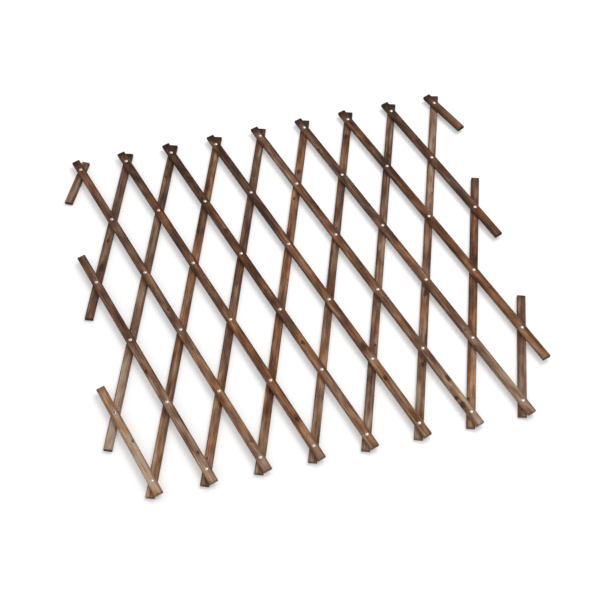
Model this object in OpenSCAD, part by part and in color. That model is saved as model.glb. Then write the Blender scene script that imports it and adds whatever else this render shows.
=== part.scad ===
// Expanding wooden plant trellis, lying on its back with its front face up.
// Eleven front slats lean one way and eleven back slats the other.
// A rivet through every crossing lets the whole lattice fold and stretch.

/* [Lattice] */
// Angle between a front slat and a back slat, in degrees
crossing_angle = 36.5; // [7:0.5:173]
// Distance between neighbouring rivets along a slat
rivet_pitch = 168; // [110:1:230]
// Rivets along a full slat
rivets_per_slat = 6; // [4:1:8]
// Crossings along the top edge
top_points = 9; // [4:1:12]

/* [Slats] */
// Slat width
slat_width = 18; // [12:0.5:26]
// Slat thickness
slat_thickness = 8; // [5:0.25:10]
// Radius of the eased long edges
edge_radius = 1.2; // [0.4:0.1:2]
// Wood beyond the last rivet at the top and bottom edges
end_overhang = 30; // [20:0.5:45]
// Running gap between the two layers
layer_gap = 0.3; // [0.2:0.05:0.6]

/* [Side stubs] */
// Stubs at the left edge that point down, from the top row
left_stubs_down = [91, 87, 76]; // [40:1:110]
// Stubs at the left edge that point up, from the second side row
left_stubs_up = [80, 67]; // [40:1:110]
// Stubs at the right edge that point down, from the top row
right_stubs_down = [98, 88, 82]; // [40:1:110]
// Stubs at the right edge that point up, from the second side row
right_stubs_up = [90, 84]; // [40:1:110]
// How far the upper left stub has swung outwards on its only rivet
left_swing = 7; // [0:0.5:8]
// How far the upper right stub has swung outwards on its only rivet
right_swing = 5; // [0:0.5:8]

/* [Rivets] */
// Diameter of the domed head
head_diameter = 7.5; // [6:0.1:10]
// Height of the domed head
head_height = 1.6; // [1:0.1:2.5]
// Straight rim below the dome
head_rim = 0.4; // [0.2:0.05:0.6]
// Diameter of the shank
shank_diameter = 4; // [3:0.1:5]
// Diameter of the hollow in the shank's tail
hollow_diameter = 2.7; // [1.5:0.1:3]
// Depth of that hollow
hollow_depth = 4; // [2.5:0.1:6]
// Thickness of the rolled edge of the tail
roll_thickness = 1.2; // [0.8:0.1:1.6]
// Radial play of the shank in the front slat
front_play = 0.05; // [0.02:0.01:0.1]
// Radial play of the shank in the back slat, which turns on it
back_play = 0.08; // [0.02:0.01:0.1]

/* [Hidden] */
wood_front = [0.41, 0.27, 0.18];
wood_back = [0.36, 0.24, 0.17];
metal = [0.86, 0.85, 0.82];

// Lattice steps: half a mesh across and half a mesh down
half_angle = crossing_angle / 2;
step_x = rivet_pitch * sin(half_angle);
step_y = rivet_pitch * cos(half_angle);
last_row = rivets_per_slat - 1;
last_column = 2 * (top_points - 1);
// Slats that start on the left edge, below the top row
side_starts = floor(last_row / 2);
slat_count = top_points + side_starts;

// Heights of the two layers
front_z = slat_thickness + layer_gap;
face_z = front_z + slat_thickness;
shank_radius = shank_diameter / 2;
head_radius = head_diameter / 2;
hollow_radius = hollow_diameter / 2;
roll_radius = roll_thickness / 2;
// The rolled tail lies just inside the back face, in a dimple that flares outwards
tail_z = 0.1;
roll_step = 0.35;
roll_centre = shank_radius + roll_step;
side_play = 0.3;
depth_play = 0.25;
dimple_radius = roll_centre + roll_radius + side_play;
dimple_depth = tail_z + roll_thickness + depth_play;
dimple_flare = 0.2;
// How far a drill runs past the wood
overrun = 1;
// Sphere whose cap is the dome of the head
cap_height = head_height - head_rim;
dome_radius = (pow(head_radius, 2) + pow(cap_height, 2)) / (2 * cap_height);

function two(n) = n < 10 ? str("0", n) : str(n);

// Where the rivet of a row and column stands
function spot(row, column) = [
    (column - last_column / 2) * step_x,
    (last_row / 2 - row) * step_y,
    0
];

// First and last rivet row of each slat, counted from the top
function front_first(i) = max(0, 2 * (side_starts - i + 1));
function front_last(i) = min(last_row, last_column - 2 * (i - 1 - side_starts));
function front_column(i, row) = row + 2 * (i - 1 - side_starts);
function back_first(j) = max(0, 2 * (j - 1) - last_column);
function back_last(j) = min(last_row, 2 * (j - 1));
function back_column(j, row) = 2 * (j - 1) - row;

// Wood above the first rivet and below the last one: an overhang, or a stub of that side row
function stub(list, k) = list[min(k, len(list) - 1)];
function above(row, stubs) = row == 0 ? end_overhang : stub(stubs, row / 2 - 1);
function below(row, stubs) = row == last_row ? end_overhang : stub(stubs, row / 2);

// Section of a slat: a flat lath with four eased edges
module slat_section() {
    flat = slat_width / 2 - edge_radius;
    translate([-flat, 0])
        square([2 * flat, slat_thickness]);
    translate([-slat_width / 2, edge_radius])
        square([slat_width, slat_thickness - 2 * edge_radius]);
    for (side = [-1, 1])
        for (z = [edge_radius, slat_thickness - edge_radius])
            translate([side * flat, z])
                circle(r = edge_radius, $fn = 24);
}

// A drilled slat along +X, with its first rivet at the origin
module slat(holes, up, down, hole_radius, dimpled) {
    difference() {
        translate([-up, 0, 0])
            rotate([90, 0, 90])
                linear_extrude(up + (holes - 1) * rivet_pitch + down)
                    slat_section();
        for (k = [0 : holes - 1])
            translate([k * rivet_pitch, 0, -overrun])
                cylinder(h = slat_thickness + 2 * overrun, r = hole_radius, $fn = 36);
        // The tail is drawn into the back face
        if (dimpled)
            for (k = [0 : holes - 1])
                translate([k * rivet_pitch, 0, -overrun])
                    cylinder(
                        h = dimple_depth + overrun,
                        r1 = dimple_radius + dimple_flare,
                        r2 = dimple_radius,
                        $fn = 36
                    );
    }
}

module front_slat(i) {
    first = front_first(i);
    last = front_last(i);
    color(wood_front)
        translate(spot(first, front_column(i, first)) + [0, 0, front_z])
            rotate([0, 0, half_angle - 90 + (i == slat_count ? right_swing : 0)])
                slat(
                    last - first + 1,
                    above(first, left_stubs_up),
                    below(last, right_stubs_down),
                    shank_radius + front_play,
                    false
                );
}

module back_slat(j) {
    first = back_first(j);
    last = back_last(j);
    color(wood_back)
        translate(spot(first, back_column(j, first)))
            rotate([0, 0, -90 - half_angle - (j == 1 ? left_swing : 0)])
                slat(
                    last - first + 1,
                    above(first, right_stubs_up),
                    below(last, left_stubs_down),
                    shank_radius + back_play,
                    true
                );
}

// Half outline of a rivet: domed head, shank and a hollow tail rolled outwards
module rivet_outline() {
    difference() {
        union() {
            translate([0, face_z])
                square([head_radius, head_rim]);
            intersection() {
                translate([0, face_z + head_height - dome_radius])
                    circle(r = dome_radius, $fn = 120);
                translate([0, face_z + head_rim])
                    square([head_radius, head_height]);
            }
            translate([0, tail_z + roll_radius])
                square([shank_radius, face_z - tail_z - roll_radius]);
            translate([roll_centre, tail_z + roll_radius])
                circle(r = roll_radius, $fn = 32);
        }
        translate([-overrun, -overrun])
            square([hollow_radius + overrun, tail_z + hollow_depth + overrun]);
    }
}

module rivet() {
    rotate_extrude($fn = 48)
        rivet_outline();
}

// The rivets of one front slat
module rivets(i) {
    color(metal)
        for (row = [front_first(i) : front_last(i)])
            translate(spot(row, front_column(i, row)))
                rivet();
}

for (i = [1 : slat_count]) {
    front_slat(i);
    back_slat(i);
    rivets(i);
}
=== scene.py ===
"""Expanding wooden trellis panel: sawn slats, domed rivets and a plain stage."""
import math
import random

import bmesh
import bpy
from bpy.props import FloatProperty, FloatVectorProperty, IntProperty, PointerProperty
from mathutils import Matrix, Vector


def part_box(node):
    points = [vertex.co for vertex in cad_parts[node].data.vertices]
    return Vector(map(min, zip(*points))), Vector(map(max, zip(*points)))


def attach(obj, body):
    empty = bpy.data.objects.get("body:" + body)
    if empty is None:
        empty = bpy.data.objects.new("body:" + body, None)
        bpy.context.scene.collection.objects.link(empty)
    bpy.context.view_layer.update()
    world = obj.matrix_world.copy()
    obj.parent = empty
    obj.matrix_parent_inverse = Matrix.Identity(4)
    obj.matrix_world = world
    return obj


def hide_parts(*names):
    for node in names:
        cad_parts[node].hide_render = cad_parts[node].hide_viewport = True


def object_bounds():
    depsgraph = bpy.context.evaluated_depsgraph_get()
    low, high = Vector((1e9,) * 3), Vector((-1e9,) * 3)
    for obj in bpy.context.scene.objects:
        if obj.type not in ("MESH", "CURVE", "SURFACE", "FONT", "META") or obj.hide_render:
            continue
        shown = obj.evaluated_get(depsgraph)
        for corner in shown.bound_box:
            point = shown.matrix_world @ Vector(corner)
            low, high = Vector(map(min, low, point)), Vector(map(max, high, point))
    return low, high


bl_info = {
    "name": "Expanding Wooden Trellis",
    "version": (1, 0, 0),
    "blender": (4, 5, 0),
    "location": "3D View > Sidebar > Trellis",
    "description": "Models the slats and rivets of an expanding garden trellis",
    "category": "Object",
}

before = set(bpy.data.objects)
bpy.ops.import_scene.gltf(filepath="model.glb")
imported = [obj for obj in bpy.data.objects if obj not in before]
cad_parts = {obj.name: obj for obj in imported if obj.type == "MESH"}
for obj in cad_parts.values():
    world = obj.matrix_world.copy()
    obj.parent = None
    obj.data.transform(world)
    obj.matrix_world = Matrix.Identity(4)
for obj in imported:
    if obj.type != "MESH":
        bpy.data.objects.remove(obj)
CAD_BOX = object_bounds()

# Rows are counted from the top and columns from the left, in half meshes.
# Two front slats start at the left edge, below the top row.
LAST_ROW = 5
LAST_COLUMN = 16
SIDE_STARTS = 2
SLATS = 11
LAYER_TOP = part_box("back_slat_06")[1].z
FRONT_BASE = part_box("front_slat_06")[0].z
FRONT_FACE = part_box("front_slat_06")[1].z

# All lengths below are in metres. Two points closer than this count as one.
SAME_PLACE = 1e-6

# Sawing: steps of the mesh along a lath, its eased end rims, and the skew of an end cut in degrees.
SAW_STEP = 0.0045
END_RIM = 0.0005
END_REACH = 0.0011
END_SKEW = 1.6

# Riveting: plays of the shank, the tail with its rolled edge, and the dimple around it.
FRONT_PLAY = 0.00005
BACK_PLAY = 0.00008
TAIL_HEIGHT = 0.0001
HOLLOW_DEPTH = 0.004
ROLL_STEP = 0.00035
ROLL_TURN = 1.35 * math.pi
RIVET_EASE = 0.0001
DIMPLE_PLAY = 0.0003
DIMPLE_DEPTH_PLAY = 0.00025
DIMPLE_FLARE = 0.0002
OVERRUN = 0.001

# Relief: the smooth ring around a rivet and the ring it grows in, the size of its grain,
# and the grey of the pattern that leaves the face where it is.
RELIEF_FREE = 0.005
RELIEF_FADE = 0.006
GRAIN_LENGTH = 0.16
GRAIN_WIDTH = 0.011
GRAIN_SIZE = 0.55
RELIEF_TOP = 0.86

# Drying splits: chance at each end, place across in slat widths, lengths and widths,
# share of the width left at the tip, and level of the wedge's corners in slat thicknesses.
SPLIT_CHANCE = 0.3
SPLIT_ASIDE = 0.3
SPLIT_LENGTHS = (0.010, 0.021)
SPLIT_WIDTHS = (0.00008, 0.00018)
SPLIT_TIP = 0.02
SPLIT_LEVEL = 0.43
SPLIT_CLEAR = 0.001

# A knot of size 1, its place across in slat widths, and its length along the grain to its width.
KNOT_UNIT = 0.0034
KNOT_ASIDE = 0.36
KNOT_STRETCH = 1.7
# In knot sizes: how far its mark on the wood goes, how deep it has shrunk, how wide that dish is,
# and the mark of wood that is far from any knot.
KNOT_REACH = 4.5
DISH_DEPTH = 0.03
DISH_REACH = 1.2
NO_KNOT = (9.0, 9.0, 0.0)

# Small knots at random: wood to each, and how far they keep from ends, rivets and other knots.
SMALL_KNOT_STEP = 0.32
SMALL_KNOT_ASIDE = 0.4
SMALL_KNOT_SIZES = (0.0012, 0.0024)
CLEAR_OF_END = 0.03
CLEAR_OF_RIVET = 0.016
CLEAR_OF_KNOT = 0.07

# Knots that stand out: slat, place in rivet spacings below the top row,
# place across from -1 to 1, and size.
FRONT_KNOTS = {
    4: ((4.60, 0.1, 0.9),),
    5: ((0.56, 0.1, 2.0), (1.58, 0.2, 1.4), (3.56, -0.1, 1.0)),
    6: ((3.80, 0.0, 1.6), (4.30, -0.3, 1.0)),
    7: ((4.50, 0.7, 1.3), (4.76, -1.1, 1.0), (4.87, -0.8, 1.3)),
}
BACK_KNOTS = {
    2: ((1.74, 0.2, 1.4),),
    4: ((0.72, -0.5, 1.2),),
    6: ((0.76, 0.0, 1.3), (1.22, -0.3, 1.0), (4.12, 0.2, 1.1)),
    7: ((0.28, 0.0, 1.4),),
    8: ((0.78, 0.3, 1.1),),
    9: ((3.18, 0.0, 1.2), (4.20, 0.3, 1.0)),
}

# Where the pith of the tree lay beside a slat, across and below it.
PITH_ASIDE = (-0.03, 0.03)
PITH_DEPTHS = (0.006, 0.03)

# Slats from left to right: stain at the upper and lower end, 0 dark to 1 pale,
# and its cast, grey below 0 and warm above.
FRONT_STAIN = (
    (0.71, 0.79, 0.0),
    (0.43, 0.66, -0.2),
    (0.32, 0.65, 0.0),
    (0.30, 0.51, 0.8),
    (0.30, 0.51, 0.5),
    (0.32, 0.61, 0.3),
    (0.37, 0.65, -0.1),
    (0.37, 0.69, -0.4),
    (0.31, 0.52, 1.0),
    (0.30, 0.39, 0.7),
    (0.34, 0.39, 0.4),
)
BACK_STAIN = (
    (0.66, 0.76, -0.9),
    (0.52, 0.57, -0.4),
    (0.45, 0.93, -1.2),
    (0.55, 0.61, 1.0),
    (0.43, 0.55, 0.2),
    (0.61, 0.53, 0.8),
    (0.49, 0.59, 0.1),
    (0.45, 0.61, -0.9),
    (0.63, 0.59, -0.5),
    (0.45, 0.63, 1.0),
    (0.47, 0.53, -1.4),
)

# The only slat of the top row whose upper end escaped the flame, and the long edge of each layer that
# is painted darker than the other: above 0 the right one, below 0 the left one.
PALE_TOP = ("back", 1)
DARKER_EDGE_SIDE = {"front": 1.0, "back": -0.3}
# Height of the panel's lower edge in its own frame.
PANEL_FOOT = -0.43

# Front slat and row of the one rivet with a dark centre, and the colour of that centre: painted shade
# that stands in for the shade inside a hollow rivet.
HOLLOW_SHADE_RIVET = (1, 4)
HOLLOW_SHADE_COLOUR = (0.03, 0.022, 0.018, 1.0)

# Stage: how far the floor lies below the panel, where it fades to plain white, and the lamp.
FLOOR_DROP = 0.0004
FLOOR_FADE = (0.7, 2.2)
LAMP_PLACE = (1.2, 0.6, 2.4)
LAMP_SIZE = 1.4
# Axes and place of the camera, its height counted from the panel's highest point.
CAMERA_RIGHT = (0.97617, -0.21429, -0.03433)
CAMERA_UP = (0.19877, 0.81929, 0.53782)
CAMERA_BACK = (-0.08713, -0.53182, 0.84236)
CAMERA_PLACE = (-0.1994, -1.2412, 1.8581)


class SlatSettings(bpy.types.PropertyGroup):
    """Sizes and stain of the sawn slats."""

    pitch: FloatProperty(
        name="Rivet Spacing",
        description="Distance between neighbouring rivets along a slat",
        default=0.168,
        unit="LENGTH",
        subtype="DISTANCE",
    )
    crossing: FloatProperty(
        name="Crossing Angle",
        description="Angle between a front slat and a back slat",
        default=math.radians(36.5),
        unit="ROTATION",
        subtype="ANGLE",
    )
    width: FloatProperty(
        name="Width",
        description="Width of a slat",
        default=0.018,
        unit="LENGTH",
        subtype="DISTANCE",
    )
    thickness: FloatProperty(
        name="Thickness",
        description="Thickness of a slat",
        default=LAYER_TOP,
        unit="LENGTH",
        subtype="DISTANCE",
    )
    edge: FloatProperty(
        name="Eased Edge",
        description="Radius of the eased long edges",
        default=0.0012,
        unit="LENGTH",
        subtype="DISTANCE",
    )
    overhang: FloatProperty(
        name="End Overhang",
        description="Wood beyond the last rivet at the top and bottom edges",
        default=0.030,
        unit="LENGTH",
        subtype="DISTANCE",
    )
    left_down: FloatVectorProperty(
        name="Left Stubs Down",
        description="Stubs at the left edge that point down, from the top row",
        size=3,
        default=(0.091, 0.087, 0.076),
        unit="LENGTH",
    )
    left_up: FloatVectorProperty(
        name="Left Stubs Up",
        description="Stubs at the left edge that point up, from the second side row",
        size=2,
        default=(0.080, 0.067),
        unit="LENGTH",
    )
    right_down: FloatVectorProperty(
        name="Right Stubs Down",
        description="Stubs at the right edge that point down, from the top row",
        size=3,
        default=(0.098, 0.088, 0.082),
        unit="LENGTH",
    )
    right_up: FloatVectorProperty(
        name="Right Stubs Up",
        description="Stubs at the right edge that point up, from the second side row",
        size=2,
        default=(0.090, 0.084),
        unit="LENGTH",
    )
    left_swing: FloatProperty(
        name="Left Swing",
        description="How far the upper left stub has swung outwards on its only rivet",
        default=math.radians(7.0),
        unit="ROTATION",
        subtype="ANGLE",
    )
    right_swing: FloatProperty(
        name="Right Swing",
        description="How far the upper right stub has swung outwards on its only rivet",
        default=math.radians(5.0),
        unit="ROTATION",
        subtype="ANGLE",
    )
    relief: FloatProperty(
        name="Sawn Relief",
        description="Depth of the sawn and weathered relief of the faces",
        default=0.00035,
        unit="LENGTH",
        subtype="DISTANCE",
    )
    seed: IntProperty(
        name="Seed",
        description="Start of the random knots, splits and end cuts",
        default=7,
    )
    dark: FloatVectorProperty(
        name="Darkest Stain",
        description="Colour of the darkest streaks",
        default=(0.036, 0.018, 0.010),
        subtype="COLOR",
    )
    brown: FloatVectorProperty(
        name="Brown Stain",
        description="Main colour of the front slats",
        default=(0.117, 0.055, 0.030),
        subtype="COLOR",
    )
    chestnut: FloatVectorProperty(
        name="Chestnut Stain",
        description="Main colour of the back slats",
        default=(0.197, 0.102, 0.056),
        subtype="COLOR",
    )
    tan: FloatVectorProperty(
        name="Tan Wood",
        description="Colour where the stain is thin",
        default=(0.315, 0.192, 0.114),
        subtype="COLOR",
    )
    pale: FloatVectorProperty(
        name="Pale Wood",
        description="Colour where the wood is almost bare",
        default=(0.445, 0.310, 0.206),
        subtype="COLOR",
    )
    warm: FloatVectorProperty(
        name="Warm Cast",
        description="Tint of the warmer stretches",
        default=(1.14, 0.95, 0.74),
        subtype="COLOR",
        max=2.0,
        soft_max=2.0,
    )
    cool: FloatVectorProperty(
        name="Cool Cast",
        description="Tint of the greyer stretches",
        default=(0.95, 1.03, 1.16),
        subtype="COLOR",
        max=2.0,
        soft_max=2.0,
    )
    heart: FloatVectorProperty(
        name="Knot Heart",
        description="Colour at the heart of a knot",
        default=(0.032, 0.011, 0.005),
        subtype="COLOR",
    )
    blush: FloatVectorProperty(
        name="Knot Halo",
        description="Colour of the wood around a knot",
        default=(0.108, 0.043, 0.020),
        subtype="COLOR",
    )
    char: FloatVectorProperty(
        name="Char",
        description="Colour of the burnt ends and edges",
        default=(0.022, 0.0125, 0.0105),
        subtype="COLOR",
    )


class RivetSettings(bpy.types.PropertyGroup):
    """Sizes and finish of the rivets."""

    head: FloatProperty(
        name="Head Diameter",
        description="Diameter of the domed head",
        default=0.0075,
        unit="LENGTH",
        subtype="DISTANCE",
    )
    height: FloatProperty(
        name="Head Height",
        description="Height of the domed head",
        default=0.0016,
        unit="LENGTH",
        subtype="DISTANCE",
    )
    rim: FloatProperty(
        name="Rim",
        description="Straight rim below the dome",
        default=0.0004,
        unit="LENGTH",
        subtype="DISTANCE",
    )
    shank: FloatProperty(
        name="Shank Diameter",
        description="Diameter of the shank",
        default=0.004,
        unit="LENGTH",
        subtype="DISTANCE",
    )
    hollow: FloatProperty(
        name="Hollow Diameter",
        description="Diameter of the hollow in the tail",
        default=0.0027,
        unit="LENGTH",
        subtype="DISTANCE",
    )
    roll: FloatProperty(
        name="Rolled Edge",
        description="Thickness of the rolled edge of the tail",
        default=0.0012,
        unit="LENGTH",
        subtype="DISTANCE",
    )
    segments: IntProperty(
        name="Segments",
        description="Faces around a rivet",
        default=28,
    )
    bright: FloatVectorProperty(
        name="Bright Metal",
        description="Colour of the bright metal",
        default=(0.54, 0.475, 0.415),
        subtype="COLOR",
    )
    dull: FloatVectorProperty(
        name="Dull Metal",
        description="Colour where the metal has dulled",
        default=(0.38, 0.32, 0.27),
        subtype="COLOR",
    )


class StageSettings(bpy.types.PropertyGroup):
    """Floor, light and camera."""

    floor: FloatVectorProperty(
        name="Floor",
        description="Colour of the floor",
        default=(1.0, 1.0, 1.0),
        subtype="COLOR",
    )
    reach: FloatProperty(
        name="Floor Radius",
        description="Radius of the round floor",
        default=14.0,
        unit="LENGTH",
        subtype="DISTANCE",
    )
    glow: FloatProperty(
        name="Floor Glow",
        description="Share of plain white in the floor around the panel",
        default=0.22,
        min=0.0,
        max=1.0,
        subtype="FACTOR",
    )
    sky: FloatProperty(
        name="Room Light",
        description="Strength of the even light from all sides",
        default=0.80,
    )
    key: FloatProperty(
        name="Key Light",
        description="Power of the large soft lamp",
        default=32.0,
        unit="POWER",
    )
    lens: FloatProperty(
        name="Lens",
        description="Focal length of the camera on a 36 mm sensor, in millimetres",
        default=63.16,
    )


def slat_run(layer, number):
    """First and last rivet row of a slat, and its column at row 0."""
    k = number - 1
    if layer == "front":
        first = max(0, 2 * (SIDE_STARTS - k))
        last = min(LAST_ROW, LAST_COLUMN - 2 * (k - SIDE_STARTS))
        return first, last, 2 * (k - SIDE_STARTS)
    return max(0, 2 * k - LAST_COLUMN), min(LAST_ROW, 2 * k), 2 * k


def column_at(layer, start, row):
    """Column of a slat at a row, from its column at row 0."""
    return start + row if layer == "front" else start - row


def rivet_spot(slats, row, column):
    """Where a rivet stands on the back plane of the panel."""
    half = slats.crossing / 2
    x = (column - LAST_COLUMN / 2) * slats.pitch * math.sin(half)
    y = (LAST_ROW / 2 - row) * slats.pitch * math.cos(half)
    return Vector((x, y, 0.0))


def slat_reach(layer, first, last, slats):
    """Wood above the first rivet and below the last one."""
    stubs_up = slats.left_up if layer == "front" else slats.right_up
    stubs_down = slats.right_down if layer == "front" else slats.left_down
    above = slats.overhang if first == 0 else stubs_up[first // 2 - 1]
    below = slats.overhang if last == LAST_ROW else stubs_down[last // 2]
    return above, below


def slat_turn(layer, number, slats):
    """Direction of a slat, from its upper end to its lower end."""
    half = slats.crossing / 2
    if layer == "front":
        return half - math.pi / 2 + (slats.right_swing if number == SLATS else 0.0)
    return -half - math.pi / 2 - (slats.left_swing if number == 1 else 0.0)


def deselect():
    """Leaves edit mode and clears the selection."""
    if bpy.context.object and bpy.context.object.mode != "OBJECT":
        bpy.ops.object.mode_set(mode="OBJECT")
    bpy.ops.object.select_all(action="DESELECT")


def work_on(piece):
    """Makes a piece the only selected one and the active one."""
    deselect()
    piece.select_set(True)
    bpy.context.view_layer.objects.active = piece


def join(pieces):
    """Joins pieces into the first of them."""
    work_on(pieces[0])
    for piece in pieces:
        piece.select_set(True)
    if len(pieces) > 1:
        bpy.ops.object.join()
    return bpy.context.object


def apply_place():
    """Moves the place, turn and scale of what is selected into its mesh."""
    bpy.ops.object.transform_apply(location=True, rotation=True, scale=True)


def apply_modifiers(piece):
    work_on(piece)
    for name in [m.name for m in piece.modifiers]:
        bpy.ops.object.modifier_apply(modifier=name)


def pick(piece, kind, test):
    """Selects the vertices, edges or faces of a piece in edit mode that pass a test."""
    bpy.ops.mesh.select_mode(type=kind)
    bpy.ops.mesh.select_all(action="DESELECT")
    mesh = bmesh.from_edit_mesh(piece.data)
    found = 0
    for part in {"VERT": mesh.verts, "EDGE": mesh.edges, "FACE": mesh.faces}[kind]:
        if test(part):
            part.select_set(True)
            found += 1
    mesh.select_flush_mode()
    bmesh.update_edit_mesh(piece.data)
    if not found:
        raise RuntimeError(f"nothing to pick on {piece.name}")


def runs_along(edge, axis):
    """Whether an edge is parallel to an axis."""
    a, b = (v.co for v in edge.verts)
    across = [i for i in range(3) if i != axis]
    return all(abs(a[i] - b[i]) < SAME_PLACE for i in across)


def is_end_rim(edge):
    """Whether an edge lies between an end face and a long face of a lath."""
    ends = [abs(face.normal.x) > 0.9 for face in edge.link_faces]
    return len(ends) == 2 and ends[0] != ends[1]


def saw_lath(name, start, finish, slats, dice):
    """A lath along X from start to finish, with eased edges and sawn ends."""
    wide, thick = slats.width, slats.thickness
    deselect()
    bpy.ops.mesh.primitive_cube_add(
        size=1.0,
        location=((start + finish) / 2, 0, thick / 2),
        scale=(finish - start, wide, thick),
    )
    lath = bpy.context.object
    lath.name = lath.data.name = name
    apply_place()
    bpy.ops.object.mode_set(mode="EDIT")
    for axis, cuts in enumerate((round((finish - start) / SAW_STEP), 4, 1)):
        pick(lath, "EDGE", lambda e, axis=axis: runs_along(e, axis))
        bpy.ops.mesh.subdivide(number_cuts=cuts)

    def is_long_edge(edge):
        corner = edge.verts[0].co
        side = abs(abs(corner.y) - wide / 2) < SAME_PLACE
        face = min(abs(corner.z), abs(corner.z - thick)) < SAME_PLACE
        return runs_along(edge, 0) and side and face

    pick(lath, "EDGE", is_long_edge)
    bpy.ops.mesh.bevel(
        offset=slats.edge, segments=3, profile=0.5, affect="EDGES", clamp_overlap=False
    )
    pick(lath, "EDGE", is_end_rim)
    bpy.ops.mesh.bevel(
        offset=END_RIM, segments=2, profile=0.5, affect="EDGES", clamp_overlap=True
    )
    # Each end is sawn a little off square.
    for end in (start, finish):
        pick(lath, "VERT", lambda v, end=end: abs(v.co.x - end) < END_REACH)
        bpy.ops.transform.rotate(
            value=math.radians(dice.uniform(-END_SKEW, END_SKEW)),
            orient_axis="Z",
            center_override=(end, 0, thick / 2),
        )
    bpy.ops.object.mode_set(mode="OBJECT")
    return lath


def dish_knots(lath, knots, slats):
    """Knots have shrunk a little below both faces."""
    work_on(lath)
    bpy.ops.object.mode_set(mode="EDIT")
    for along, across, size in knots:
        for face, push in ((slats.thickness, -1.0), (0.0, 1.0)):
            spot = Vector((along, across, face))
            mesh = bmesh.from_edit_mesh(lath.data)
            nearest = min(mesh.verts, key=lambda v: (v.co - spot).length_squared)
            number = nearest.index
            pick(lath, "VERT", lambda v, number=number: v.index == number)
            bpy.ops.transform.translate(
                value=(0, 0, push * DISH_DEPTH * size),
                use_proportional_edit=True,
                use_proportional_connected=True,
                proportional_edit_falloff="SMOOTH",
                proportional_size=DISH_REACH * size,
            )
    bpy.ops.object.mode_set(mode="OBJECT")


def drill_bits(along, slats, rivets, dimpled):
    """Cutters for one rivet hole and for the dimple that its tail lies in."""
    thick = slats.thickness
    bpy.ops.mesh.primitive_cylinder_add(
        vertices=rivets.segments,
        radius=rivets.shank / 2 + (BACK_PLAY if dimpled else FRONT_PLAY),
        depth=3 * thick,
        location=(along, 0, thick / 2),
    )
    bits = [bpy.context.object]
    if dimpled:
        radius = rivets.shank / 2 + ROLL_STEP + rivets.roll / 2 + DIMPLE_PLAY
        depth = TAIL_HEIGHT + rivets.roll + DIMPLE_DEPTH_PLAY
        bpy.ops.mesh.primitive_cone_add(
            vertices=rivets.segments,
            radius1=radius + DIMPLE_FLARE,
            radius2=radius,
            depth=depth + OVERRUN,
            location=(along, 0, (depth - OVERRUN) / 2),
        )
        bits.append(bpy.context.object)
    return bits


def split_wedge(split, slats):
    """A thin wedge that cuts a drying split into an end."""
    end, inward, across, long, wide = split
    bpy.ops.mesh.primitive_cone_add(
        vertices=4,
        radius1=1.0,
        radius2=SPLIT_TIP,
        depth=1.0,
        location=(0, 0, 0),
        rotation=(0, inward * math.pi / 2, 0),
    )
    wedge = bpy.context.object
    apply_place()
    wedge.scale = (long, wide, 3 * slats.thickness)
    # Off the middle, so that its corners stay clear of the lath's middle edges.
    level = SPLIT_LEVEL * slats.thickness
    wedge.location = (end + inward * (long / 2 - OVERRUN), across, level)
    apply_place()
    return wedge


def drill(lath, holes, splits, slats, rivets, dimpled):
    """Rivet holes, the dimples that the tails lie in, and drying splits at the ends."""
    deselect()
    tools = []
    for k in range(holes):
        tools += drill_bits(k * slats.pitch, slats, rivets, dimpled)
    for split in splits:
        tools.append(split_wedge(split, slats))
    cutter = join(tools)
    cut = lath.modifiers.new("Drill", "BOOLEAN")
    cut.operation = "DIFFERENCE"
    cut.solver = "EXACT"
    cut.use_self = True
    cut.object = cutter
    apply_modifiers(lath)
    bpy.data.objects.remove(cutter, do_unlink=True)


def is_at_split(point, split):
    """Whether a point of a lath lies beside a drying split."""
    end, inward, across, long, _ = split
    beside = abs(point.y - across) < SPLIT_CLEAR
    return beside and inward * (point.x - end) < long + SPLIT_CLEAR


def weather(lath, place, holes, splits, slats):
    """Sawn relief along the grain, only ever inwards, and none around rivets and splits."""
    inverse = place.inverted()
    mesh = lath.data
    group = lath.vertex_groups.new(name="Relief")
    local = [inverse @ v.co for v in mesh.vertices]
    for v, p in zip(mesh.vertices, local):
        gap = min(math.hypot(p.x - k * slats.pitch, p.y) for k in range(holes))
        weight = min(1.0, max(0.0, (gap - RELIEF_FREE) / RELIEF_FADE))
        if any(is_at_split(p, split) for split in splits):
            weight = 0.0
        group.add([v.index], weight, "REPLACE")
    # Each slat reads its own stretch of the pattern.
    grain = mesh.uv_layers.new(name="Grain")
    shift = 3.1 * (place.translation.x + 1.7 * place.translation.y)
    for corner in mesh.loops:
        p = local[corner.vertex_index]
        side = (p.y + 1.3 * p.z) / GRAIN_WIDTH
        grain.data[corner.index].uv = (p.x / GRAIN_LENGTH + shift, side)
    pattern = bpy.data.textures.new("Sawn relief", "CLOUDS")
    pattern.noise_scale = GRAIN_SIZE
    pattern.noise_depth = 2
    relief = lath.modifiers.new("Relief", "DISPLACE")
    relief.texture = pattern
    relief.texture_coords = "UV"
    relief.uv_layer = "Grain"
    relief.vertex_group = "Relief"
    relief.strength = slats.relief
    relief.mid_level = RELIEF_TOP
    apply_modifiers(lath)
    lath.vertex_groups.clear()
    mesh.uv_layers.remove(mesh.uv_layers["Grain"])


def knot_gap(point, knot):
    """Distance of a point from a knot, in knot sizes."""
    along, across, size = knot
    return math.hypot((point.x - along) / KNOT_STRETCH, point.y - across) / size


def knot_mark(point, knot):
    """Place of a point along and across a knot, in knot sizes, and its distance to the side."""
    along, across, size = knot
    side = point.y - across
    return (point.x - along) / (KNOT_STRETCH * size), side / size, side


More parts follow.
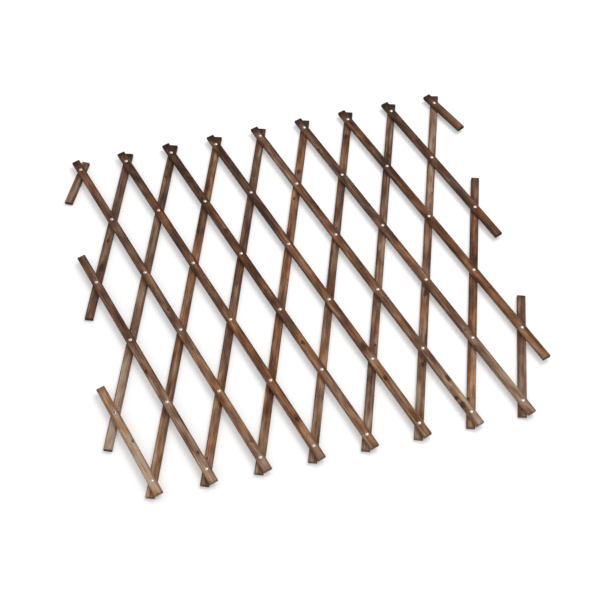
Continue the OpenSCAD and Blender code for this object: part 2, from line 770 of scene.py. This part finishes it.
def mark_grain(lath, place, ends, burnt, pith, stain, knots, salt):
    """Attributes that the finish reads: grain axes, ends, pith, stain with the long edge that is
    painted darker, and knots.
    """
    start, finish = ends
    scorch, foot, darker_edge_side = burnt
    upper, lower, cast = stain
    inverse = place.inverted()
    mesh = lath.data
    local = [inverse @ v.co for v in mesh.vertices]
    # All are made before any is filled, because a new one moves the data of the others.
    for name in ("grain", "ends", "pith", "stain"):
        mesh.attributes.new(name, "FLOAT_VECTOR", "POINT")
    mesh.attributes.new("knot", "FLOAT_VECTOR", "CORNER")
    grain = mesh.attributes["grain"].data
    reach = mesh.attributes["ends"].data
    sawn = mesh.attributes["pith"].data
    stain_and_darker_edge = mesh.attributes["stain"].data
    near = mesh.attributes["knot"].data
    for v, p in zip(mesh.vertices, local):
        grain[v.index].vector = (p.x + salt, p.y, p.z)
        reach[v.index].vector = (p.x - start, finish - p.x, scorch)
        sawn[v.index].vector = (*pith, foot)
        down = (p.x - start) / (finish - start)
        stain_and_darker_edge[v.index].vector = (upper + (lower - upper) * down, cast, darker_edge_side)
    for face in mesh.polygons:
        centre = inverse @ face.center
        knot = min(knots, key=lambda n: knot_gap(centre, n), default=None)
        marked = knot is not None and knot_gap(centre, knot) <= KNOT_REACH
        for corner in face.loop_indices:
            p = local[mesh.loops[corner].vertex_index]
            near[corner].vector = knot_mark(p, knot) if marked else NO_KNOT


def rgba(colour):
    return (*colour, 1.0)


class Finish:
    """A material's nodes, added one after the other."""

    def __init__(self, name):
        self.material = bpy.data.materials.new(name)
        self.material.use_nodes = True
        self.nodes = self.material.node_tree.nodes
        self.links = self.material.node_tree.links
        self.shader = self.nodes["Principled BSDF"]

    def add(self, kind, **settings):
        node = self.nodes.new(kind)
        for key, value in settings.items():
            setattr(node, key, value)
        return node

    def put(self, socket, value):
        """Links a socket to another one, or sets its value."""
        if isinstance(value, bpy.types.NodeSocket):
            self.links.new(value, socket)
        elif value is not None:
            socket.default_value = value

    def sum(self, operation, a, b=None, c=None):
        node = self.add("ShaderNodeMath", operation=operation)
        for socket, value in zip(node.inputs, (a, b, c)):
            self.put(socket, value)
        return node.outputs[0]

    def sway(self, noise, strength, value):
        """A value moved up and down by a noise, whose middle is 0.5."""
        return self.sum("MULTIPLY_ADD", self.sum("SUBTRACT", noise, 0.5), strength, value)

    def span(self, value, low, high, to_low=0.0, to_high=1.0, smooth=True):
        """A value from low to high, moved to between to_low and to_high."""
        node = self.add("ShaderNodeMapRange")
        node.interpolation_type = "SMOOTHSTEP" if smooth else "LINEAR"
        for socket, v in zip(node.inputs, (value, low, high, to_low, to_high)):
            self.put(socket, v)
        return node.outputs[0]

    def blend(self, how_much, a, b, mode="MIX"):
        node = self.add("ShaderNodeMix", data_type="RGBA", blend_type=mode)
        self.put(node.inputs[0], how_much)
        self.put(node.inputs[6], a)
        self.put(node.inputs[7], b)
        return node.outputs[2]

    def mixed(self, x, y, z):
        node = self.add("ShaderNodeCombineXYZ")
        for socket, value in zip(node.inputs, (x, y, z)):
            self.put(socket, value)
        return node.outputs[0]

    def noise(self, where, scale=1.0, detail=2.0, rough=0.5):
        node = self.add("ShaderNodeTexNoise")
        self.put(node.inputs["Vector"], where)
        self.put(node.inputs["Scale"], scale)
        self.put(node.inputs["Detail"], detail)
        self.put(node.inputs["Roughness"], rough)
        return node.outputs["Fac"]

    def attribute(self, name):
        """A piece's own attribute, as a vector and as its three numbers."""
        node = self.add("ShaderNodeAttribute", attribute_name=name)
        split = self.add("ShaderNodeSeparateXYZ")
        self.put(split.inputs[0], node.outputs["Vector"])
        return node.outputs["Vector"], split.outputs[0], split.outputs[1], split.outputs[2]

    def bump(self, height, strength, distance):
        node = self.add("ShaderNodeBump")
        node.inputs["Strength"].default_value = strength
        node.inputs["Distance"].default_value = distance
        self.put(node.inputs["Height"], height)
        self.put(self.shader.inputs["Normal"], node.outputs[0])


class StainedWood(Finish):
    """Sawn softwood under a brown stain: streaks, rings, knots, burnt edges and ends, and one long
    edge of each layer painted darker than the other.
    """

    def __init__(self, slats):
        super().__init__("Stained wood")
        self.slats = slats
        self.where, self.along, self.across, self.up = self.attribute("grain")
        _, self.from_top, self.from_bottom, self.scorch = self.attribute("ends")
        _, self.pith_side, self.pith_depth, self.foot = self.attribute("pith")
        _, self.stain, self.cast, self.darker_edge_side = self.attribute("stain")
        _, self.knot_x, self.knot_y, self.knot_side = self.attribute("knot")
        place = self.add("ShaderNodeSeparateXYZ")
        self.put(place.inputs[0], self.add("ShaderNodeTexCoord").outputs["Object"])
        self.height = place.outputs[1]
        self.find_knots()
        self.draw_figure()
        colour = self.char_and_darken_edge(self.show_knots(self.dye()))
        self.put(self.shader.inputs["Base Color"], colour)
        rough = self.span(self.fibre, 0.3, 0.7, 0.62, 0.86, smooth=False)
        self.put(self.shader.inputs["Roughness"], rough)
        self.shader.inputs["Specular IOR Level"].default_value = 0.12
        self.raise_grain()

    def figure(self, side, along, across, detail=2.0, rough=0.5):
        """A noise with one scale along the slat and one across it."""
        where = self.mixed(
            self.sum("MULTIPLY", self.along, along),
            self.sum("MULTIPLY", side, across),
            self.sum("MULTIPLY", self.up, across),
        )
        return self.noise(where, 1.0, detail, rough)

    def find_knots(self):
        """Distance from the nearest knot, in knot sizes, with a ragged outline."""
        x = self.sway(self.noise(self.where, 170.0, 1.0), 1.9, self.knot_x)
        y = self.sway(self.figure(self.across, 100.0, 300.0, 1.5), 1.9, self.knot_y)
        squares = self.sum("ADD", self.sum("MULTIPLY", x, x), self.sum("MULTIPLY", y, y))
        self.knot = self.sum("SQRT", squares)
        self.patchy = self.span(self.noise(self.where, 460.0, 2.0), 0.36, 0.56, 0.6, 1.0)
        self.core = self.sum("MULTIPLY", self.span(self.knot, 1.2, 0.55), self.patchy)
        self.halo = self.span(self.knot, 2.9, 0.7)

    def draw_figure(self):
        """Streaks, fibres and growth rings, which flow round each knot."""
        aside = self.sum("MULTIPLY", self.sum("MULTIPLY", self.knot_side, self.halo), 0.75)
        flow = self.sum("SUBTRACT", self.across, aside)
        self.drift = self.figure(flow, 6.0, 60.0)
        self.mottle = self.figure(self.across, 26.0, 95.0, 3.0)
        self.streak = self.figure(flow, 13.0, 300.0, 3.0, 0.6)
        self.fibre = self.figure(flow, 34.0, 2300.0, 4.0, 0.7)
        self.fleck = self.figure(flow, 150.0, 3200.0, 1.0)
        self.pale_line = self.figure(flow, 14.0, 1300.0)
        self.hue = self.figure(self.across, 9.0, 30.0)
        self.speck = self.figure(flow, 34.0, 130.0)
        rings = self.add("ShaderNodeTexWave", wave_type="RINGS", rings_direction="X")
        from_pith = self.mixed(
            self.sum("MULTIPLY", self.along, 0.05),
            self.sum("ADD", flow, self.pith_side),
            self.sum("ADD", self.up, self.pith_depth),
        )
        self.put(rings.inputs["Vector"], from_pith)
        self.put(rings.inputs["Scale"], 95.0)
        self.put(rings.inputs["Distortion"], 5.0)
        self.put(rings.inputs["Detail"], 2.0)
        self.put(rings.inputs["Detail Scale"], 0.7)
        self.ring = self.sum("POWER", rings.outputs["Fac"], 2.2)

    def dye(self):
        """Colour of the stain, palest towards the lower edge of the panel."""
        slats = self.slats
        # The tone is raised towards the panel's lower edge and lowered above it.
        weathered = self.span(self.height, PANEL_FOOT, -0.05, 0.045, -0.102)
        tone = self.sum("ADD", self.stain, weathered)
        tone = self.sway(self.drift, 0.9, tone)
        tone = self.sway(self.mottle, 1.1, tone)
        tone = self.sway(self.streak, 0.65, tone)
        tone = self.sway(self.fibre, 0.75, tone)
        tone = self.sum("MULTIPLY_ADD", self.ring, -0.14, tone)
        tone = self.sum("ADD", tone, self.span(self.pale_line, 0.6, 0.78, 0.0, 0.2))
        ramp = self.add("ShaderNodeValToRGB")
        self.put(ramp.inputs[0], tone)
        steps = ramp.color_ramp.elements
        steps[0].position, steps[0].color = 0.0, rgba(slats.dark)
        steps[1].position, steps[1].color = 1.0, rgba(slats.pale)
        for position, colour in ((0.32, slats.brown), (0.52, slats.chestnut), (0.76, slats.tan)):
            steps.new(position).color = rgba(colour)
        hue = self.sum("MULTIPLY_ADD", self.cast, 0.13, self.hue)
        hue = self.sway(self.speck, 0.55, hue)
        hue = self.sum("ADD", hue, self.span(self.height, PANEL_FOOT, -0.1, -0.10, -0.03))
        hue = self.sum("ADD", hue, self.span(self.height, 0.0, 0.2, 0.0, -0.065))
        tint = self.blend(self.span(hue, 0.32, 0.68), rgba(slats.cool), rgba(slats.warm))
        colour = self.blend(1.0, ramp.outputs[0], tint, "MULTIPLY")
        return self.blend(self.span(self.fleck, 0.62, 0.72, 0.0, 0.6), colour, rgba(slats.dark))

    def show_knots(self, colour):
        """A red halo, a dark heart with its own rings, and a rim of bark on each knot."""
        slats = self.slats
        shade = self.sum("MULTIPLY", self.halo, self.span(self.mottle, 0.38, 0.6, 0.7, 0.15))
        colour = self.blend(shade, colour, rgba(slats.blush))
        colour = self.blend(self.sum("MULTIPLY", self.core, 0.95), colour, rgba(slats.heart))
        turns = self.sum("SINE", self.sum("MULTIPLY", self.knot, 21.0))
        turns = self.sum("MULTIPLY_ADD", turns, 0.5, 0.5)
        lines = self.sum("MULTIPLY", self.sum("MULTIPLY", self.core, turns), 0.22)
        colour = self.blend(lines, colour, rgba(slats.brown))
        inside = self.span(self.knot, 0.62, 0.9)
        bark = self.sum("MULTIPLY", inside, self.span(self.knot, 1.2, 0.98))
        bark = self.sum("MULTIPLY", self.sum("MULTIPLY", bark, self.patchy), 0.55)
        return self.blend(bark, colour, rgba(slats.char))

    def char_and_darken_edge(self, colour):
        """Edges and ends took the flame first, and one long edge of each layer is painted darker than
        the other; the sawn sides are less dark than the corners.
        """
        half = self.slats.width / 2
        reach = self.sum("ABSOLUTE", self.across)
        gap = self.sum("SUBTRACT", half, reach)
        gap = self.sway(self.figure(self.across, 16.0, 200.0), 0.006, gap)
        edge = self.span(gap, 0.0036, 0.0005, 0.0, 0.75)
        edge = self.sum("MULTIPLY", edge, self.span(self.height, PANEL_FOOT, 0.05, 0.6, 1.0))
        # One long edge of each layer is painted darker than the other.
        more = self.sum("MULTIPLY", self.sum("SIGN", self.across), self.darker_edge_side)
        edge = self.sum("MULTIPLY", edge, self.sum("MULTIPLY_ADD", more, 0.42, 0.68))
        side = self.span(reach, half - 0.00015, half - 0.00005, 1.0, 0.55)
        edge = self.sum("MULTIPLY", edge, side)
        ragged = self.figure(self.across, 60.0, 330.0)
        top = self.span(self.sway(ragged, 0.02, self.from_top), 0.025, 0.005)
        top = self.sum("MULTIPLY", top, self.sum("MULTIPLY", self.scorch, 0.85))
        sawn_top = self.span(self.sway(ragged, 0.004, self.from_top), 0.0028, 0.0002, 0.0, 0.75)
        sawn_foot = self.span(self.sway(ragged, 0.004, self.from_bottom), 0.0028, 0.0002)
        rim = self.sum("MAXIMUM", sawn_top, self.sum("MULTIPLY", sawn_foot, self.foot))
        burnt = self.sum("MAXIMUM", edge, self.sum("MAXIMUM", top, rim))
        return self.blend(burnt, colour, rgba(self.slats.char))

    def raise_grain(self):
        """Fine relief of fibres and rings, with hollow flecks and knots."""
        relief = self.sum("MULTIPLY_ADD", self.ring, 0.4, self.sum("MULTIPLY", self.fibre, 0.9))
        relief = self.sum("ADD", relief, self.span(self.fleck, 0.62, 0.72, 0.0, -0.5))
        relief = self.sum("MULTIPLY_ADD", self.core, -0.5, relief)
        self.bump(relief, 0.55, 0.0004)


def bright_metal(rivets):
    """Bright drawn metal, dulled in patches and at the rim, with painted shade at the centre of one
    rivet.
    """
    f = Finish("Bright rivet metal")
    here = f.add("ShaderNodeTexCoord").outputs["Object"]
    dull = f.noise(here, 650.0, 3.0)
    _, worn, hollow_shade, _ = f.attribute("wear_and_hollow_shade")
    tarnish = f.sum("MULTIPLY", f.span(dull, 0.45, 0.75), 0.5)
    tarnish = f.sum("MAXIMUM", tarnish, worn)
    colour = f.blend(tarnish, rgba(rivets.bright), rgba(rivets.dull))
    # Painted shade at the centre of one rivet, standing in for the shade inside a hollow.
    f.put(f.shader.inputs["Base Color"], f.blend(hollow_shade, colour, HOLLOW_SHADE_COLOUR))
    f.shader.inputs["Metallic"].default_value = 1.0
    f.put(f.shader.inputs["Roughness"], f.span(dull, 0.3, 0.8, 0.3, 0.52, smooth=False))
    f.bump(f.noise(here, 2600.0, 2.0), 0.2, 0.00008)
    return f.material


def set_knots(layer, number, first, ends, slats, dice):
    """Knots of a slat, as places along and across and sizes: those that stand out, then small ones."""
    start, finish = ends
    seen = FRONT_KNOTS if layer == "front" else BACK_KNOTS
    knots = [
        ((place - first) * slats.pitch, KNOT_ASIDE * across * slats.width, KNOT_UNIT * size)
        for place, across, size in seen.get(number, ())
    ]
    for _ in range(round((finish - start) / SMALL_KNOT_STEP)):
        along = dice.uniform(start + CLEAR_OF_END, finish - CLEAR_OF_END)
        from_rivet = abs(along / slats.pitch - round(along / slats.pitch)) * slats.pitch
        alone = all(abs(along - knot[0]) > CLEAR_OF_KNOT for knot in knots)
        if from_rivet > CLEAR_OF_RIVET and alone:
            across = dice.uniform(-SMALL_KNOT_ASIDE, SMALL_KNOT_ASIDE) * slats.width
            knots.append((along, across, dice.uniform(*SMALL_KNOT_SIZES)))
    return knots


def set_splits(ends, slats, dice):
    """Drying splits of a slat: the end, the way inwards, the place across, length and width."""
    splits = []
    for end, inward in zip(ends, (1, -1)):
        if dice.random() < SPLIT_CHANCE:
            across = dice.uniform(-SPLIT_ASIDE, SPLIT_ASIDE) * slats.width
            long = dice.uniform(*SPLIT_LENGTHS)
            splits.append((end, inward, across, long, dice.uniform(*SPLIT_WIDTHS)))
    return splits


def make_slat(layer, number, slats, rivets):
    """One slat, sawn, drilled, laid in place, weathered and marked for its finish."""
    is_front = layer == "front"
    dice = random.Random(1000 * slats.seed + 50 * is_front + number)
    first, last, column = slat_run(layer, number)
    above, below = slat_reach(layer, first, last, slats)
    ends = (-above, (last - first) * slats.pitch + below)
    knots = set_knots(layer, number, first, ends, slats, dice)
    splits = set_splits(ends, slats, dice)
    lath = saw_lath(f"{layer}_lath_{number:02d}", *ends, slats, dice)
    dish_knots(lath, knots, slats)
    holes = last - first + 1
    drill(lath, holes, splits, slats, rivets, not is_front)
    spot = rivet_spot(slats, first, column_at(layer, column, first))
    spot.z = FRONT_BASE if is_front else 0.0
    turn = Matrix.Rotation(slat_turn(layer, number, slats), 4, "Z")
    place = Matrix.Translation(spot) @ turn
    work_on(lath)
    lath.matrix_world = place
    apply_place()
    weather(lath, place, holes, splits, slats)
    pith = (dice.uniform(*PITH_ASIDE), dice.uniform(*PITH_DEPTHS))
    scorched = first == 0 and (layer, number) != PALE_TOP
    # How far the flame took the upper end and the lower end, and which long edge is painted darker
    # than the other.
    burnt = (
        1.0 if scorched else 0.2,
        0.4 if last == LAST_ROW else 0.85,
        DARKER_EDGE_SIDE[layer],
    )
    stain = (FRONT_STAIN if is_front else BACK_STAIN)[number - 1]
    # Each slat reads its own stretch of the noises.
    salt = 2.3 * number + 40 * is_front
    mark_grain(lath, place, ends, burnt, pith, stain, knots, salt)
    return lath


def make_slats(layer, scene):
    """All slats of one layer, in the finish that both layers share."""
    slats = scene.trellis_slats
    finish = bpy.data.materials.get("Stained wood") or StainedWood(slats).material
    for number in range(1, SLATS + 1):
        lath = make_slat(layer, number, slats, scene.trellis_rivets)
        lath.data.materials.append(finish)
        work_on(lath)
        bpy.ops.object.shade_smooth_by_angle(angle=math.radians(32))
        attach(lath, f"{layer}_{number:02d}")
        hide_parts(f"{layer}_slat_{number:02d}")


def rivet_outline(rivets):
    """Radius and height of a rivet from the hollow of its tail, round the rolled edge, to its dome."""
    shank, head, hollow = rivets.shank / 2, rivets.head / 2, rivets.hollow / 2
    roll = rivets.roll / 2
    middle = shank + ROLL_STEP
    outline = [(hollow, TAIL_HEIGHT + HOLLOW_DEPTH), (hollow, TAIL_HEIGHT + roll)]
    for step in range(1, 9):
        turn = math.pi + step * ROLL_TURN / 8
        height = TAIL_HEIGHT + roll + roll * math.sin(turn)
        outline.append((middle + roll * math.cos(turn), height))
    outline += [
        (shank, TAIL_HEIGHT + 2 * roll + RIVET_EASE),
        (shank, FRONT_FACE - RIVET_EASE),
        (shank + 2 * RIVET_EASE, FRONT_FACE),
        (head - 1.5 * RIVET_EASE, FRONT_FACE),
        (head, FRONT_FACE + 1.2 * RIVET_EASE),
        (head, FRONT_FACE + rivets.rim),
    ]
    # The dome is the cap of a sphere.
    cap = rivets.height - rivets.rim
    sphere = (head * head + cap * cap) / (2 * cap)
    centre = FRONT_FACE + rivets.height - sphere
    for step in range(1, 7):
        reach = head * math.cos(step * math.pi / 2 / 7)
        outline.append((reach, centre + math.sqrt(sphere * sphere - reach * reach)))
    return outline


def form_rivet(rivets):
    """One rivet on the Z axis, drawn up from a ring along its outline."""
    outline = rivet_outline(rivets)
    deselect()
    bpy.ops.mesh.primitive_circle_add(
        vertices=rivets.segments,
        radius=outline[0][0],
        fill_type="NGON",
        location=(0, 0, outline[0][1]),
    )
    rivet = bpy.context.object
    apply_place()
    bpy.ops.object.mode_set(mode="EDIT")
    pick(rivet, "EDGE", lambda e: True)
    bpy.ops.mesh.region_to_loop()
    for (r0, z0), (r1, z1) in zip(outline, outline[1:]):
        bpy.ops.mesh.extrude_edges_move(TRANSFORM_OT_translate={"value": (0, 0, z1 - z0)})
        grow = r1 / r0
        bpy.ops.transform.resize(value=(grow, grow, 1), center_override=(0, 0, z1))
    bpy.ops.mesh.edge_face_add()
    bpy.ops.mesh.select_all(action="SELECT")
    bpy.ops.mesh.normals_make_consistent(inside=False)
    bpy.ops.object.mode_set(mode="OBJECT")
    return rivet


def mark_wear_and_hollow_shade(rivet, rivets, dull, has_hollow_shade):
    """Marks where a rivet has dulled, most at its rim, and where painted shade of a hollow sits in its
    centre.
    """
    wear_and_hollow_shade = rivet.data.attributes.new("wear_and_hollow_shade", "FLOAT_VECTOR", "POINT")
    for v in rivet.data.vertices:
        reach = math.hypot(v.co.x, v.co.y) / (rivets.head / 2)
        on_head = v.co.z > FRONT_FACE - 0.001
        rim = max(0.0, (reach - 0.74) / 0.26) if on_head else 0.3
        # Painted shade in the centre, standing in for the shade inside a hollow.
        centre = min(1.0, max(0.0, (0.62 - reach) / 0.2)) if has_hollow_shade else 0.0
        wear_and_hollow_shade.data[v.index].vector = (min(1.0, dull + 0.9 * rim), centre, 0)


def make_rivets(slats, rivets):
    """Every rivet with its own mesh, joined into one piece for each front slat."""
    finish = bright_metal(rivets)
    model = form_rivet(rivets)
    dice = random.Random(300 + slats.seed)
    for number in range(1, SLATS + 1):
        first, last, column = slat_run("front", number)
        group = []
        for row in range(first, last + 1):
            rivet = model.copy()
            rivet.data = model.data.copy()
            bpy.context.scene.collection.objects.link(rivet)
            mark_wear_and_hollow_shade(rivet, rivets, dice.uniform(0.0, 0.25), (number, row) == HOLLOW_SHADE_RIVET)
            spot = rivet_spot(slats, row, column_at("front", column, row))
            turn = Matrix.Rotation(dice.uniform(0, math.tau), 4, "Z")
            rivet.matrix_world = Matrix.Translation(spot) @ turn
            group.append(rivet)
        piece = join(group)
        piece.name = piece.data.name = f"rivet_set_{number:02d}"
        apply_place()
        piece.data.materials.append(finish)
        bpy.ops.object.shade_smooth_by_angle(angle=math.radians(40))
        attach(piece, f"front_{number:02d}")
        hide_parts(f"rivets_{number:02d}")
    bpy.data.objects.remove(model, do_unlink=True)


def shown_directly(tree):
    """1 for rays from the camera, a mirror or glass, and 0 for the light that falls on things."""
    path = tree.nodes.new("ShaderNodeLightPath")
    shown = path.outputs["Is Camera Ray"]
    for kind in ("Is Glossy Ray", "Is Transmission Ray"):
        either = tree.nodes.new("ShaderNodeMath")
        either.operation = "MAXIMUM"
        tree.links.new(shown, either.inputs[0])
        tree.links.new(path.outputs[kind], either.inputs[1])
        shown = either.outputs[0]
    return shown


def lay_floor(stage):
    """A round pale floor, mostly paint close to the panel, so that it shows the shadows there."""
    deselect()
    bpy.ops.mesh.primitive_circle_add(
        vertices=96, radius=stage.reach, fill_type="NGON", location=(0, 0, -FLOOR_DROP)
    )
    floor = bpy.context.object
    floor.name = floor.data.name = "Pale_floor"
    f = Finish("Pale floor")
    f.shader.inputs["Base Color"].default_value = rgba(stage.floor)
    f.shader.inputs["Roughness"].default_value = 0.9
    glow = f.add("ShaderNodeEmission")
    glow.inputs["Strength"].default_value = 1.0
    away = f.add("ShaderNodeVectorMath", operation="LENGTH")
    f.put(away.inputs[0], f.add("ShaderNodeTexCoord").outputs["Object"])
    share = f.span(away.outputs["Value"], *FLOOR_FADE, stage.glow, 1.0)
    share = f.sum("MULTIPLY", share, shown_directly(f.material.node_tree))
    mix = f.add("ShaderNodeMixShader")
    for socket, value in zip(mix.inputs, (share, f.shader.outputs[0], glow.outputs[0])):
        f.put(socket, value)
    f.put(f.nodes["Material Output"].inputs["Surface"], mix.outputs[0])
    floor.data.materials.append(f.material)


def light_room(scene, stage):
    """Even light from all sides, a plain white background and one large soft lamp."""
    world = bpy.data.worlds.new("Soft room")
    scene.world = world
    world.use_nodes = True
    tree = world.node_tree
    room = tree.nodes["Background"]
    white = tree.nodes.new("ShaderNodeBackground")
    for node, strength in ((room, stage.sky), (white, 1.0)):
        node.inputs["Color"].default_value = (1, 1, 1, 1)
        node.inputs["Strength"].default_value = strength
    mix = tree.nodes.new("ShaderNodeMixShader")
    tree.links.new(shown_directly(tree), mix.inputs[0])
    tree.links.new(room.outputs[0], mix.inputs[1])
    tree.links.new(white.outputs[0], mix.inputs[2])
    tree.links.new(mix.outputs[0], tree.nodes["World Output"].inputs["Surface"])

    bpy.ops.object.light_add(type="AREA", location=LAMP_PLACE)
    lamp = bpy.context.object
    lamp.name = lamp.data.name = "Soft key light"
    lamp.data.shape = "DISK"
    lamp.data.size = LAMP_SIZE
    lamp.data.energy = stage.key
    lamp.rotation_euler = (-lamp.location).to_track_quat("-Z", "Y").to_euler()


def set_camera(scene, stage):
    """The camera at the photograph's angle."""
    bpy.ops.object.camera_add()
    camera = bpy.context.object
    camera.name = camera.data.name = "Photograph camera"
    camera.data.lens = stage.lens
    camera.data.sensor_width = 36.0
    place = Matrix((CAMERA_RIGHT, CAMERA_UP, CAMERA_BACK)).transposed().to_4x4()
    x, y, z = CAMERA_PLACE
    place.translation = Vector((x, y, z + CAD_BOX[1].z))
    camera.matrix_world = place
    scene.camera = camera


class TRELLIS_OT_back_slats(bpy.types.Operator):
    """Saw, drill and lay the back slats"""

    bl_idname = "trellis.back_slats"
    bl_label = "Back Slats"

    def execute(self, context):
        make_slats("back", context.scene)
        return {"FINISHED"}


class TRELLIS_OT_front_slats(bpy.types.Operator):
    """Saw, drill and lay the front slats"""

    bl_idname = "trellis.front_slats"
    bl_label = "Front Slats"

    def execute(self, context):
        make_slats("front", context.scene)
        return {"FINISHED"}


class TRELLIS_OT_rivets(bpy.types.Operator):
    """Form the rivets and set one at every crossing"""

    bl_idname = "trellis.rivets"
    bl_label = "Rivets"

    def execute(self, context):
        make_rivets(context.scene.trellis_slats, context.scene.trellis_rivets)
        return {"FINISHED"}


class TRELLIS_OT_stage(bpy.types.Operator):
    """Lay the pale floor, hang the soft light and set up the camera"""

    bl_idname = "trellis.stage"
    bl_label = "Stage"

    def execute(self, context):
        scene = context.scene
        lay_floor(scene.trellis_stage)
        light_room(scene, scene.trellis_stage)
        set_camera(scene, scene.trellis_stage)
        scene.view_settings.view_transform = "Standard"
        return {"FINISHED"}


class TRELLIS_PT_sidebar(bpy.types.Panel):
    """Steps and sizes of the trellis"""

    bl_label = "Trellis"
    bl_idname = "TRELLIS_PT_sidebar"
    bl_space_type = "VIEW_3D"
    bl_region_type = "UI"
    bl_category = "Trellis"

    def draw(self, context):
        scene = context.scene
        for settings, steps in (
            (scene.trellis_slats, (TRELLIS_OT_back_slats, TRELLIS_OT_front_slats)),
            (scene.trellis_rivets, (TRELLIS_OT_rivets,)),
            (scene.trellis_stage, (TRELLIS_OT_stage,)),
        ):
            box = self.layout.box()
            for name in settings.bl_rna.properties.keys():
                if name not in ("rna_type", "name"):
                    box.prop(settings, name)
            for step in steps:
                box.operator(step.bl_idname)


CLASSES = (
    SlatSettings,
    RivetSettings,
    StageSettings,
    TRELLIS_OT_back_slats,
    TRELLIS_OT_front_slats,
    TRELLIS_OT_rivets,
    TRELLIS_OT_stage,
    TRELLIS_PT_sidebar,
)


def register():
    for each in CLASSES:
        bpy.utils.register_class(each)
    bpy.types.Scene.trellis_slats = PointerProperty(type=SlatSettings)
    bpy.types.Scene.trellis_rivets = PointerProperty(type=RivetSettings)
    bpy.types.Scene.trellis_stage = PointerProperty(type=StageSettings)


def unregister():
    del bpy.types.Scene.trellis_stage
    del bpy.types.Scene.trellis_rivets
    del bpy.types.Scene.trellis_slats
    for each in reversed(CLASSES):
        bpy.utils.unregister_class(each)


def main():
    register()
    bpy.ops.trellis.back_slats()
    bpy.ops.trellis.front_slats()
    bpy.ops.trellis.rivets()
    bpy.ops.trellis.stage()
    deselect()


if __name__ == "__main__":
    main()
